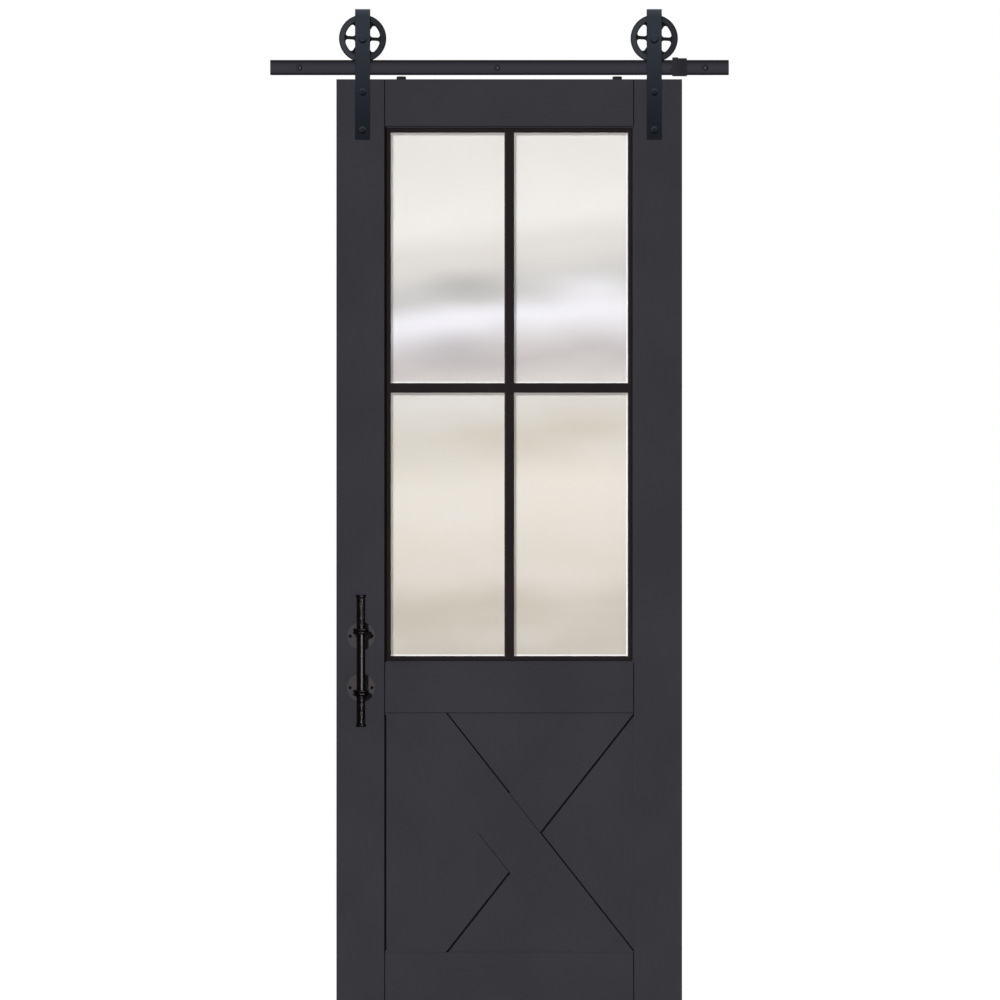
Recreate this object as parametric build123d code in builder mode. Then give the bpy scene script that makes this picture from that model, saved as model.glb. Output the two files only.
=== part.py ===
"""Sliding barn door with two spoked hanger wheels on a flat wall track.

Millimetres. +X is right, +Y runs into the wall and +Z is up, seen from the room.
The origin is where the middle track bolt's axis meets the wall.
"""

from build123d import *

import os
from math import asin, atan2, cos, degrees, pi, radians, sin, sqrt

os.makedirs("parts", exist_ok=True)

# Track
rail_height = 40.0
rail_thickness = 6.0
rail_left_overrun = 244.7
rail_end_round = 2.0
wall_gap = 36.0
rail_arris = 0.8
left_wall_bolt_inset = 75.7
right_wall_bolt_inset = 64.0
spacer_radius = 10.0
bolt_clearance = 0.2
wall_shank_radius = 4.8
wall_thread_radius = 4.0
wall_thread_length = 60.0
wall_bolt_tip = 6.0
wall_tip_radius = 0.6
wall_head_radius = 8.4
wall_head_height = 6.0

# Dome heads, with a hexagon socket
head_edge = 1.6
wall_socket_radius = 2.6
hanger_socket_radius = 3.4
socket_depth = 2.6

# Door leaf
door_width = 914.4
door_height = 2438.4
door_centre_x = 33.1
door_top_gap = 11.2
core_thickness = 17.0
board_thickness = 9.0
stile_width = 127.0
top_rail_width = 124.1
middle_rail_width = 133.0
bottom_rail_width = 129.4
window_height = 1418.5
stile_joint_gap = 1.8
brace_width = 128.0
brace_joint_gap = 0.8
board_arris = 0.6

# Window
ledge_width = 4.0
glass_rebate_depth = 7.0
glass_thickness = 5.0
gasket_lip = 1.0
gasket_edge = 1.0
gasket_reach = 9.0
frame_bar_width = 12.7
muntin_width = 25.4
muntin_rise = 17.0
front_bar_setback = 0.5
back_bar_depth = 4.5
bar_bevel = 1.8
bar_clearance = 0.3

# Hangers
left_hanger_inset = 69.4
right_hanger_inset = 73.6
strap_width = 40.0
strap_thickness = 6.0
strap_overlap = 160.2
strap_top_rise = 60.7
back_leg_drop = 28.0
strap_corner = 2.0
back_leg_corner = 12.0
strap_arris = 0.7
wheel_side_clearance = 2.0
axle_radius = 5.0
axle_fit = 0.05
axle_head_radius = 11.0
axle_head_height = 4.0
axle_nut_width = 17.0
axle_nut_height = 6.5
axle_end = 1.5
upper_bolt_drop = 33.1
lower_bolt_drop = 133.7
hanger_bolt_radius = 5.0
hanger_head_radius = 9.5
hanger_head_height = 6.0
washer_radius = 10.5
washer_thickness = 1.5
cap_nut_width = 15.0
cap_nut_height = 8.0
cap_nut_dome_radius = 6.8
cap_nut_bore = 4.5

# Wheels
wheel_radius = 62.6
wheel_width = 18.0
groove_width = 8.0
groove_depth = 5.6
groove_taper = 0.8
roll_clearance = 0.1
rim_inner_radius = 46.2
rim_edge_round = 2.0
web_thickness = 9.0
hub_radius = 20.0
spoke_count = 6
spoke_width = 9.0
spoke_root_radius = 22.0
spoke_turn = -3.3
gap_inner_fillet = 7.0
gap_outer_fillet = 6.0
bearing_radius = 13.0
bearing_width = 8.0
outer_ring_thickness = 2.2
inner_ring_radius = 7.5
shield_thickness = 0.8
shield_inset = 0.4
shield_gap = 0.3

# Guide discs on the top edge
disc_inset = 171.5
disc_radius = 12.7
disc_height = 7.7
disc_front_margin = 0.3
disc_edge_round = 2.5
screw_radius = 2.1
screw_head_radius = 4.2
screw_head_depth = 2.4
screw_fit = 0.1
disc_screw_length = 34.0
drive_radius = 1.5
drive_depth = 1.4

# End stop
stop_offset = 62.9
stop_to_wall_bolt = 47.0
stop_clamp_length = 23.6
stop_wall = 6.0
stop_top = 24.6
stop_bottom = 22.9
stop_fit = 0.2
stop_rib_count = 4
stop_rib_pitch = 4.2
stop_rib_groove = 1.2
stop_rib_depth = 0.8
stop_arris = 0.8
buffer_length = 15.1
buffer_rise = 2.2
buffer_round = 2.0
nose_reach = 4.8
nose_top = 17.0
nose_bottom = 9.5
nose_bead_radius = 4.2
set_screw_count = 2
set_screw_radius = 2.5
set_screw_spacing = 22.0

# Pipe handle
handle_inset = 65.5
handle_standoff = 45.0
lower_flange_height = 828.9
flange_spacing = 136.5
flange_radius = 37.8
flange_thickness = 5.0
flange_boss_radius = 16.0
flange_boss_height = 10.0
flange_round = 1.5
flange_hole_circle = 29.0
flange_hole_count = 4
flange_screw_length = 20.0
post_radius = 11.0
pipe_radius = 11.5
pipe_wall = 3.0
pipe_fit = 0.1
collar_offset = 13.0
collar_height = 16.0
collar_radius = 21.0
collar_waist_radius = 17.0
upper_pipe_reach = 110.0
lower_pipe_reach = 102.7
pipe_rim_radius = 14.2
pipe_rim_height = 8.0
pipe_rim_round = 2.4
plug_recess_radius = 6.0
plug_recess_depth = 2.5

# Depths, from the wall outwards
rail_back_y = -wall_gap
rail_front_y = rail_back_y - rail_thickness
wheel_y = (rail_back_y + rail_front_y) / 2
leg_inner = wheel_width / 2 + wheel_side_clearance
leg_outer = leg_inner + strap_thickness
door_front_y = wheel_y - leg_inner
strap_front_y = wheel_y - leg_outer
core_front_y = door_front_y + board_thickness
core_back_y = core_front_y + core_thickness
door_back_y = core_back_y + board_thickness
glass_seat_y = core_back_y - glass_rebate_depth
glass_front_y = glass_seat_y + gasket_lip
glass_back_y = glass_front_y + glass_thickness
handle_y = door_front_y - handle_standoff

# Heights
rail_top = rail_height / 2
roll_radius = wheel_radius - groove_depth
axle_z = rail_top + roll_clearance + roll_radius
door_top = -rail_height / 2 - door_top_gap
door_bottom = door_top - door_height
window_top = door_top - top_rail_width
window_bottom = window_top - window_height
panel_top = window_bottom - middle_rail_width
panel_bottom = door_bottom + bottom_rail_width
strap_bottom = door_top - strap_overlap
bend_z = axle_z + strap_top_rise
upper_bolt_z = door_top - upper_bolt_drop
lower_bolt_z = door_top - lower_bolt_drop
lower_flange_z = door_bottom + lower_flange_height
upper_flange_z = lower_flange_z + flange_spacing

# Places from left to right
door_left = door_centre_x - door_width / 2
door_right = door_centre_x + door_width / 2
opening_left = door_left + stile_width
opening_right = door_right - stile_width
handle_x = door_left + handle_inset
hanger_places = {"left": door_left + left_hanger_inset, "right": door_right - right_hanger_inset}
stop_x = hanger_places["right"] + stop_offset
rail_left_end = hanger_places["left"] - rail_left_overrun
right_wall_bolt_x = stop_x + stop_clamp_length + stop_to_wall_bolt
rail_right_end = right_wall_bolt_x + right_wall_bolt_inset
rail_length = rail_right_end - rail_left_end
rail_centre_x = (rail_left_end + rail_right_end) / 2
wall_bolt_places = {
    "left": rail_left_end + left_wall_bolt_inset,
    "middle": 0.0,
    "right": right_wall_bolt_x,
}
disc_places = {"left": door_left + disc_inset, "right": door_right - disc_inset}
disc_y = door_front_y + disc_radius + disc_front_margin
flange_places = {"upper": upper_flange_z, "lower": lower_flange_z}
hanger_bolt_spots = [(x, z) for x in hanger_places.values() for z in (upper_bolt_z, lower_bolt_z)]


def facing_front(y):
    """A sketch plane at depth y: its x is +X, its y is +Z, and it extrudes to the front."""
    return Plane.XZ.offset(-y)


def across(x, y=0.0, z=0.0):
    """A sketch plane at x: its x is +Y, its y is +Z, and it extrudes to the right."""
    return Plane(origin=(x, y, z), x_dir=(0, 1, 0), z_dir=(1, 0, 0))


def rectangle_points(left, right, bottom, top):
    return [(left, bottom), (right, bottom), (right, top), (left, top)]


def handle_screw_spots():
    """Where the flange screws enter the door, as x and z."""
    step = 2 * pi / flange_hole_count
    return [
        (handle_x + flange_hole_circle * cos(step * i), z + flange_hole_circle * sin(step * i))
        for z in flange_places.values()
        for i in range(flange_hole_count)
    ]


def dome_bolt(x, seat_y, z, head_radius, head_height, shank, socket_radius):
    """A dome-headed bolt along Y. shank lists (radius, end depth) stretches, from the head inwards."""
    crown = head_height - head_edge
    with BuildPart() as bolt:
        with BuildSketch(Plane(origin=(x, 0, z))):
            with BuildLine():
                Line((0, seat_y - head_height), (0, shank[-1][1]))
                corners = [(head_radius, seat_y - head_edge), (head_radius, seat_y)]
                start = seat_y
                for radius, end in shank:
                    corners += [(radius, start), (radius, end)]
                    start = end
                Polyline(*corners, (0, start))
                sphere = (head_radius**2 + crown**2) / (2 * crown)
                RadiusArc((0, seat_y - head_height), (head_radius, seat_y - head_edge), -sphere)
            make_face()
        revolve(axis=Axis((x, 0, z), (0, 1, 0)))
        with BuildSketch(facing_front(seat_y - head_height)):
            with Locations((x, z)):
                RegularPolygon(socket_radius, 6)
        extrude(amount=-socket_depth, mode=Mode.SUBTRACT)
    return bolt.part


def wood_screw(plane, length):
    """A countersunk screw whose head top lies on the plane, driven against the plane's normal."""
    with BuildPart() as screw:
        with BuildSketch(Plane(origin=plane.origin, x_dir=plane.x_dir, z_dir=plane.y_dir)):
            with BuildLine():
                Polyline(
                    (0, 0),
                    (screw_head_radius, 0),
                    (screw_radius, screw_head_depth),
                    (screw_radius, length - screw_radius),
                    (0, length),
                    close=True,
                )
            make_face()
        revolve(axis=Axis(plane.origin, plane.z_dir))
        with BuildSketch(plane):
            RegularPolygon(drive_radius, 6)
        extrude(amount=-drive_depth, mode=Mode.SUBTRACT)
    return screw.part


def cap_nut(x, z):
    """A hexagonal nut with a domed, blind end, behind the door's washer."""
    seat_y = door_back_y + washer_thickness
    shoulder_y = seat_y + cap_nut_height / 2
    tip_y = seat_y + cap_nut_height
    half_turn = sqrt(0.5)
    dome_middle = (cap_nut_dome_radius * half_turn, shoulder_y + cap_nut_height / 2 * half_turn)
    with BuildPart() as nut:
        with BuildSketch(Plane(origin=(x, 0, z))):
            with BuildLine():
                Polyline(
                    (0, tip_y),
                    (0, seat_y),
                    (cap_nut_width / 2, seat_y),
                    (cap_nut_width / 2 + head_edge / 2, seat_y + head_edge / 4),
                    (cap_nut_width / 2 + head_edge / 2, shoulder_y - head_edge / 4),
                    (cap_nut_dome_radius, shoulder_y),
                )
                ThreePointArc((cap_nut_dome_radius, shoulder_y), dome_middle, (0, tip_y))
            make_face()
        revolve(axis=Axis((x, 0, z), (0, 1, 0)))
        with BuildSketch(facing_front(tip_y)):
            with Locations((x, z)):
                RegularPolygon(cap_nut_width / 2, 6, major_radius=False)
        extrude(amount=cap_nut_height, mode=Mode.INTERSECT)
        with BuildSketch(facing_front(seat_y)):
            with Locations((x, z)):
                Circle(hanger_bolt_radius + screw_fit)
        extrude(amount=-cap_nut_bore, mode=Mode.SUBTRACT)
    return nut.part


# Track rail
with BuildPart() as rail:
    with BuildSketch(facing_front(rail_back_y)):
        with Locations((rail_centre_x, 0)):
            RectangleRounded(rail_length, rail_height, rail_end_round)
        with Locations(*[(x, 0) for x in wall_bolt_places.values()]):
            Circle(wall_shank_radius + bolt_clearance, mode=Mode.SUBTRACT)
    extrude(amount=rail_thickness)
    for face in (rail.faces().sort_by(Axis.Y)[0], rail.faces().sort_by(Axis.Y)[-1]):
        chamfer(face.outer_wire().edges(), rail_arris)
rail.part.label = "track_rail"
export_step(rail.part, "parts/track_rail.step")

# Spacers between the wall and the rail
for place, x in wall_bolt_places.items():
    with BuildPart() as spacer:
        with BuildSketch(facing_front(0)):
            with Locations((x, 0)):
                Circle(spacer_radius)
                Circle(wall_shank_radius + bolt_clearance, mode=Mode.SUBTRACT)
        extrude(amount=wall_gap)
        chamfer(spacer.edges().filter_by(GeomType.CIRCLE).sort_by(SortBy.RADIUS)[-2:], board_arris)
    spacer.part.label = f"spacer_{place}"
    export_step(spacer.part, f"parts/spacer_{place}.step")

# Lag bolts through the rail and the spacers into the wall
tip_taper = degrees(atan2(wall_thread_radius - wall_tip_radius, wall_bolt_tip))
with BuildPart() as wall_bolts:
    for x in wall_bolt_places.values():
        add(
            dome_bolt(
                x,
                rail_front_y,
                0,
                wall_head_radius,
                wall_head_height,
                [(wall_shank_radius, 0), (wall_thread_radius, wall_thread_length)],
                wall_socket_radius,
            )
        )
        with BuildSketch(facing_front(wall_thread_length)):
            with Locations((x, 0)):
                Circle(wall_thread_radius)
        extrude(amount=-wall_bolt_tip, taper=tip_taper)
wall_bolts.part.label = "lag_bolts"
export_step(wall_bolts.part, "parts/lag_bolts.step")

# End stop: a ribbed clamp round the rail with a rubber buffer on its door side
slot_thickness = rail_thickness + 2 * stop_fit
slot_height = rail_height + 2 * stop_fit
stop_depth = slot_thickness + 2 * stop_wall
stop_height = stop_top + stop_bottom
stop_centre = (wheel_y, (stop_top - stop_bottom) / 2)
with BuildPart() as stop:
    with BuildSketch(across(stop_x)):
        with Locations(stop_centre):
            RectangleRounded(stop_depth, stop_height, buffer_round)
        with Locations((wheel_y, 0)):
            Rectangle(slot_thickness, slot_height, mode=Mode.SUBTRACT)
    extrude(amount=stop_clamp_length)
    chamfer(stop.faces().sort_by(Axis.X)[-1].outer_wire().edges(), stop_arris)
    with BuildSketch(facing_front(wheel_y - stop_depth / 2)):
        with Locations((stop_x + stop_clamp_length / 2, stop_centre[1])):
            with GridLocations(stop_rib_pitch, 0, stop_rib_count, 1):
                Rectangle(stop_rib_groove, stop_height)
    extrude(amount=-stop_rib_depth, mode=Mode.SUBTRACT)
    with BuildSketch(facing_front(wheel_y + stop_depth / 2)):
        with Locations((stop_x + stop_clamp_length / 2, 0)):
            with GridLocations(0, set_screw_spacing, 1, set_screw_count):
                Circle(set_screw_radius + screw_fit)
    extrude(amount=stop_wall, mode=Mode.SUBTRACT)
stop.part.label = "stop_clamp"
export_step(stop.part, "parts/stop_clamp.step")

with BuildPart() as set_screws:
    with BuildSketch(facing_front(wheel_y + stop_depth / 2)):
        with Locations((stop_x + stop_clamp_length / 2, 0)):
            with GridLocations(0, set_screw_spacing, 1, set_screw_count):
                Circle(set_screw_radius)
    extrude(amount=stop_wall + stop_fit)
    with BuildSketch(facing_front(wheel_y + stop_depth / 2)):
        with Locations((stop_x + stop_clamp_length / 2, 0)):
            with GridLocations(0, set_screw_spacing, 1, set_screw_count):
                RegularPolygon(drive_radius, 6)
    extrude(amount=socket_depth, mode=Mode.SUBTRACT)
set_screws.part.label = "stop_set_screws"
export_step(set_screws.part, "parts/stop_set_screws.step")

nose_x = stop_x - buffer_length - nose_reach
with BuildPart() as buffer:
    with BuildSketch(across(stop_x)):
        with Locations((wheel_y, stop_centre[1] + buffer_rise / 2)):
            RectangleRounded(stop_depth, stop_height + buffer_rise, buffer_round)
        with Locations((wheel_y, 0)):
            Rectangle(slot_thickness, slot_height, mode=Mode.SUBTRACT)
    extrude(amount=-buffer_length)
    fillet(buffer.faces().sort_by(Axis.X)[0].outer_wire().edges(), buffer_round)
    for bead_z in (nose_top - nose_bead_radius, nose_bead_radius - nose_bottom):
        with BuildSketch(facing_front(wheel_y + stop_depth / 2)):
            with Locations((nose_x + nose_bead_radius, bead_z)):
                Circle(nose_bead_radius)
            with Locations((nose_x + nose_bead_radius, bead_z)):
                Rectangle(
                    nose_reach + buffer_round,
                    2 * nose_bead_radius,
                    align=(Align.MIN, Align.CENTER),
                )
        extrude(amount=stop_depth)
    with BuildSketch(across(stop_x)):
        with Locations((wheel_y, 0)):
            Rectangle(slot_thickness, slot_height)
    extrude(amount=nose_x - stop_x - nose_bead_radius, mode=Mode.SUBTRACT)
buffer.part.label = "stop_buffer"
export_step(buffer.part, "parts/stop_buffer.step")

# Core panel of the door leaf, with its rebated window
with BuildPart() as core:
    with BuildSketch(facing_front(core_back_y)):
        with BuildLine():
            Polyline(*rectangle_points(door_left, door_right, door_bottom, door_top), close=True)
        make_face()
        with BuildLine():
            Polyline(
                *rectangle_points(
                    opening_left + ledge_width,
                    opening_right - ledge_width,
                    window_bottom + ledge_width,
                    window_top - ledge_width,
                ),
                close=True,
            )
        make_face(mode=Mode.SUBTRACT)
        with Locations(*hanger_bolt_spots):
            Circle(hanger_bolt_radius + bolt_clearance, mode=Mode.SUBTRACT)
    extrude(amount=core_thickness)
    with BuildSketch(facing_front(core_back_y)):
        with BuildLine():
            Polyline(
                *rectangle_points(opening_left, opening_right, window_bottom, window_top), close=True
            )
        make_face()
    extrude(amount=glass_rebate_depth, mode=Mode.SUBTRACT)
    with BuildSketch(facing_front(core_front_y)):
        with Locations(*handle_screw_spots()):
            Circle(screw_radius + screw_fit)
    extrude(amount=-(flange_screw_length - board_thickness), mode=Mode.SUBTRACT)
    with BuildSketch(Plane.XY.offset(door_top)):
        with Locations(*[(x, disc_y) for x in disc_places.values()]):
            Circle(screw_radius + screw_fit)
    extrude(amount=-disc_screw_length, mode=Mode.SUBTRACT)
core.part.label = "core_panel"
export_step(core.part, "parts/core_panel.step")

# Face boards on both sides of the core: stiles, rails and the crossed brace
rail_left = opening_left + stile_joint_gap
rail_right = opening_right - stile_joint_gap
board_outlines = {
    "stile_left": rectangle_points(door_left, opening_left, door_bottom, door_top),
    "stile_right": rectangle_points(opening_right, door_right, door_bottom, door_top),
    "top_rail": rectangle_points(rail_left, rail_right, window_top, door_top),
    "middle_rail": rectangle_points(rail_left, rail_right, panel_top, window_bottom),
    "bottom_rail": rectangle_points(rail_left, rail_right, door_bottom, panel_bottom),
}

# The long brace runs corner to corner, and its end cut is as long as gives the board its width
brace_top = panel_top - brace_joint_gap
brace_span = opening_right - opening_left
brace_drop = brace_top - panel_bottom
half_term = brace_width**2 * brace_span
brace_cut = (
    sqrt(
        half_term**2
        + (brace_drop**2 - brace_width**2) * brace_width**2 * (brace_span**2 + brace_drop**2)
    )
    - half_term
) / (brace_drop**2 - brace_width**2)
brace_slope = (brace_span - brace_cut) / brace_drop
gap_along_x = brace_joint_gap * sqrt(1 + brace_slope**2)


def meeting(falling_start, rising_start):
    """Where an edge that falls to the right meets one that falls to the left."""
    drop = (rising_start - falling_start) / (2 * brace_slope)
    return (falling_start + brace_slope * drop, brace_top - drop)


upper_seam = opening_left + brace_cut + gap_along_x
lower_seam = opening_left - gap_along_x
board_outlines["brace_long"] = [
    (opening_left, brace_top),
    (opening_left + brace_cut, brace_top),
    (opening_right, panel_bottom),
    (opening_right - brace_cut, panel_bottom),
]
board_outlines["brace_upper"] = [
    (opening_right - brace_cut, brace_top),
    (opening_right, brace_top),
    meeting(upper_seam, opening_right),
    meeting(upper_seam, opening_right - brace_cut),
]
board_outlines["brace_lower"] = [
    meeting(lower_seam, opening_right - brace_cut),
    meeting(lower_seam, opening_right),
    (opening_left + brace_cut, panel_bottom),
    (opening_left, panel_bottom),
]

for layer, back_y, outer in (("front", core_front_y, 0), ("back", door_back_y, -1)):
    for name, outline in board_outlines.items():
        with BuildPart() as board:
            with BuildSketch(facing_front(back_y)):
                with BuildLine():
                    Polyline(*outline, close=True)
                make_face()
                if name.startswith("stile"):
                    inside = [spot for spot in hanger_bolt_spots if outline[0][0] < spot[0] < outline[1][0]]
                    with Locations(*inside):
                        Circle(hanger_bolt_radius + bolt_clearance, mode=Mode.SUBTRACT)
            extrude(amount=board_thickness)
            chamfer(board.faces().sort_by(Axis.Y)[outer].outer_wire().edges(), board_arris)
            if (name, layer) == ("stile_left", "front"):
                with BuildSketch(facing_front(back_y)):
                    with Locations(*handle_screw_spots()):
                        Circle(screw_radius + screw_fit)
                extrude(amount=board_thickness, mode=Mode.SUBTRACT)
        board.part.label = f"{name}_{layer}"
        export_step(board.part, f"parts/{name}_{layer}.step")

# Frosted pane in its rubber channel
pane = rectangle_points(
    opening_left + gasket_edge,
    opening_right - gasket_edge,
    window_bottom + gasket_edge,
    window_top - gasket_edge,
)
with BuildPart() as glass:
    with BuildSketch(facing_front(glass_back_y)):
        with BuildLine():
            Polyline(*pane, close=True)
        make_face()
    extrude(amount=glass_thickness)
glass.part.label = "glass_pane"
export_step(glass.part, "parts/glass_pane.step")

lip_inset = gasket_edge + gasket_reach
with BuildPart() as gasket:
    with BuildSketch(facing_front(core_back_y)):
        with BuildLine():
            Polyline(
                *rectangle_points(opening_left, opening_right, window_bottom, window_top), close=True
            )
        make_face()
        with BuildLine():
            Polyline(
                *rectangle_points(
                    opening_left + lip_inset,
                    opening_right - lip_inset,
                    window_bottom + lip_inset,
                    window_top - lip_inset,
                ),
                close=True,
            )
        make_face(mode=Mode.SUBTRACT)
    extrude(amount=glass_rebate_depth)
    with BuildSketch(facing_front(glass_back_y)):
        with BuildLine():
            Polyline(*pane, close=True)
        make_face()
    extrude(amount=glass_thickness, mode=Mode.SUBTRACT)
gasket.part.label = "glass_gasket"
export_step(gasket.part, "parts/glass_gasket.step")

# Window bars: one frame in front of the pane, one behind it that keeps the pane in its rebate
window_middle_x = (opening_left + opening_right) / 2
muntin_z = (window_top + window_bottom) / 2 + muntin_rise
front_bar_y = core_front_y + front_bar_setback
bar_frames = {
    "front": (ledge_width + bar_clearance, glass_seat_y, glass_front_y, front_bar_y),
    "back": (bar_clearance, core_back_y, glass_back_y, core_back_y + back_bar_depth),
}
lite_inset = ledge_width + frame_bar_width
lite_columns = (
    (opening_left + lite_inset, window_middle_x - muntin_width / 2),
    (window_middle_x + muntin_width / 2, opening_right - lite_inset),
)
lite_rows = (
    (window_bottom + lite_inset, muntin_z - muntin_width / 2),
    (muntin_z + muntin_width / 2, window_top - lite_inset),
)
for layer, (edge_inset, seat_y, pane_y, face_y) in bar_frames.items():
    with BuildPart() as bars:
        with BuildSketch(facing_front(seat_y)):
            with BuildLine():
                Polyline(
                    *rectangle_points(
                        opening_left + edge_inset,
                        opening_right - edge_inset,
                        window_bottom + edge_inset,
                        window_top - edge_inset,
                    ),
                    close=True,
                )
            make_face()
            for left, right in lite_columns:
                for bottom, top in lite_rows:
                    with BuildLine():
                        Polyline(*rectangle_points(left, right, bottom, top), close=True)
                    make_face(mode=Mode.SUBTRACT)
        extrude(amount=seat_y - face_y)
        face = bars.faces().sort_by(Axis.Y)[0 if layer == "front" else -1]
        chamfer(face.edges(), bar_bevel)
        with BuildSketch(facing_front(seat_y)):
            with Locations((window_middle_x, (window_bottom + window_top) / 2)):
                Rectangle(muntin_width, window_height - 2 * lip_inset)
            with Locations((window_middle_x, muntin_z)):
                Rectangle(opening_right - opening_left - 2 * lip_inset, muntin_width)
        extrude(amount=seat_y - pane_y)
    bars.part.label = f"window_bars_{layer}"
    export_step(bars.part, f"parts/window_bars_{layer}.step")


# Hangers: a strap bent over each wheel, bolted to the stile through the door
def strap_hole(plane_y, depth, spots, radius):
    """Cutters for holes through a strap leg, on the plane at plane_y and running backwards."""
    with BuildPart() as cutter:
        with BuildSketch(facing_front(plane_y)):
            with Locations(*spots):
                Circle(radius)
        extrude(amount=-depth)
    return cutter.part


for side, x in hanger_places.items():
    with BuildPart() as strap:
        with BuildSketch(across(x)):
            with BuildLine():
                Polyline(
                    (wheel_y - leg_outer, bend_z),
                    (wheel_y - leg_outer, strap_bottom),
                    (wheel_y - leg_inner, strap_bottom),
                    (wheel_y - leg_inner, bend_z),
                )
                ThreePointArc(
                    (wheel_y - leg_inner, bend_z),
                    (wheel_y, bend_z + leg_inner),
                    (wheel_y + leg_inner, bend_z),
                )
                Polyline(
                    (wheel_y + leg_inner, bend_z),
                    (wheel_y + leg_inner, axle_z - back_leg_drop),
                    (wheel_y + leg_outer, axle_z - back_leg_drop),
                    (wheel_y + leg_outer, bend_z),
                )
                ThreePointArc(
                    (wheel_y + leg_outer, bend_z),
                    (wheel_y, bend_z + leg_outer),
                    (wheel_y - leg_outer, bend_z),
                )
            make_face()
        extrude(amount=strap_width / 2, both=True)
        leg_ends = strap.edges().filter_by(Axis.Y).group_by(Axis.Z)
        fillet(leg_ends[0], strap_corner)
        fillet(strap.edges().filter_by(Axis.Y).group_by(Axis.Y)[-1].group_by(Axis.Z)[0], back_leg_corner)
        add(
            strap_hole(
                strap_front_y,
                strap_thickness,
                [(x, upper_bolt_z), (x, lower_bolt_z)],
                hanger_bolt_radius + bolt_clearance,
            ),
            mode=Mode.SUBTRACT,
        )
        add(
            strap_hole(strap_front_y, 2 * leg_outer, [(x, axle_z)], axle_radius + axle_fit),
            mode=Mode.SUBTRACT,
        )
        chamfer(strap.faces().sort_by(Axis.Y)[0].outer_wire().edges(), strap_arris)
    strap.part.label = f"strap_{side}"
    export_step(strap.part, f"parts/strap_{side}.step")

with BuildPart() as hanger_bolts:
    for x, z in hanger_bolt_spots:
        add(
            dome_bolt(
                x,
                strap_front_y,
                z,
                hanger_head_radius,
                hanger_head_height,
                [(hanger_bolt_radius, door_back_y + washer_thickness + cap_nut_bore)],
                hanger_socket_radius,
            )
        )
hanger_bolts.part.label = "hanger_bolts"
export_step(hanger_bolts.part, "parts/hanger_bolts.step")

with BuildPart() as washers:
    with BuildSketch(facing_front(door_back_y + washer_thickness)):
        with Locations(*hanger_bolt_spots):
            Circle(washer_radius)
            Circle(hanger_bolt_radius + bolt_clearance, mode=Mode.SUBTRACT)
    extrude(amount=washer_thickness)
washers.part.label = "washers"
export_step(washers.part, "parts/washers.step")

with BuildPart() as cap_nuts:
    for x, z in hanger_bolt_spots:
        add(cap_nut(x, z))
cap_nuts.part.label = "cap_nuts"
export_step(cap_nuts.part, "parts/cap_nuts.step")

# Axles and the sleeves that centre each bearing between the strap legs
axle_nut_y = wheel_y + leg_outer
for side, x in hanger_places.items():
    with BuildPart() as axle:
        with BuildSketch(Plane(origin=(x, 0, axle_z))):
            with BuildLine():
                head_face = strap_front_y - axle_head_height
                axle_tip = axle_nut_y + axle_nut_height + axle_end
                Polyline(
                    (0, head_face),
                    (axle_head_radius - head_edge, head_face),
                    (axle_head_radius, head_face + head_edge),
                    (axle_head_radius, strap_front_y),
                    (axle_radius, strap_front_y),
                    (axle_radius, axle_tip - head_edge / 2),
                    (axle_radius - head_edge / 2, axle_tip),
                    (0, axle_tip),
                    close=True,
                )
            make_face()
        revolve(axis=Axis((x, 0, axle_z), (0, 1, 0)))
    axle.part.label = f"axle_{side}"
    export_step(axle.part, f"parts/axle_{side}.step")

    with BuildPart() as sleeves:
        for back_y in (wheel_y - bearing_width / 2, wheel_y + leg_inner):
            with BuildSketch(facing_front(back_y)):
                with Locations((x, axle_z)):
                    Circle(inner_ring_radius)
                    Circle(axle_radius + axle_fit, mode=Mode.SUBTRACT)
            extrude(amount=leg_inner - bearing_width / 2)
    sleeves.part.label = f"axle_sleeves_{side}"
    export_step(sleeves.part, f"parts/axle_sleeves_{side}.step")

    with BuildPart() as inner_ring:
        with BuildSketch(facing_front(wheel_y + bearing_width / 2)):
            with Locations((x, axle_z)):
                Circle(inner_ring_radius)
                Circle(axle_radius + axle_fit, mode=Mode.SUBTRACT)
        extrude(amount=bearing_width)
    inner_ring.part.label = f"bearing_inner_ring_{side}"
    export_step(inner_ring.part, f"parts/bearing_inner_ring_{side}.step")

    ring_bore = bearing_radius - outer_ring_thickness
    shield_bore = inner_ring_radius + shield_gap
    with BuildPart() as outer_ring:
        with BuildSketch(Plane(origin=(x, wheel_y, axle_z))):
            with Locations(((bearing_radius + ring_bore) / 2, 0)):
                Rectangle(outer_ring_thickness, bearing_width)
            with Locations(((ring_bore + shield_bore) / 2, 0)):
                with GridLocations(0, bearing_width - 2 * shield_inset - shield_thickness, 1, 2):
                    Rectangle(ring_bore - shield_bore, shield_thickness)
        revolve(axis=Axis((x, wheel_y, axle_z), (0, 1, 0)))
    outer_ring.part.label = f"bearing_outer_ring_{side}"
    export_step(outer_ring.part, f"parts/bearing_outer_ring_{side}.step")

with BuildPart() as axle_nuts:
    with BuildSketch(facing_front(axle_nut_y + axle_nut_height)):
        with Locations(*[(x, axle_z) for x in hanger_places.values()]):
            RegularPolygon(axle_nut_width / 2, 6, major_radius=False)
            Circle(axle_radius + axle_fit, mode=Mode.SUBTRACT)
    extrude(amount=axle_nut_height)
axle_nuts.part.label = "axle_nuts"
export_step(axle_nuts.part, "parts/axle_nuts.step")

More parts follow.
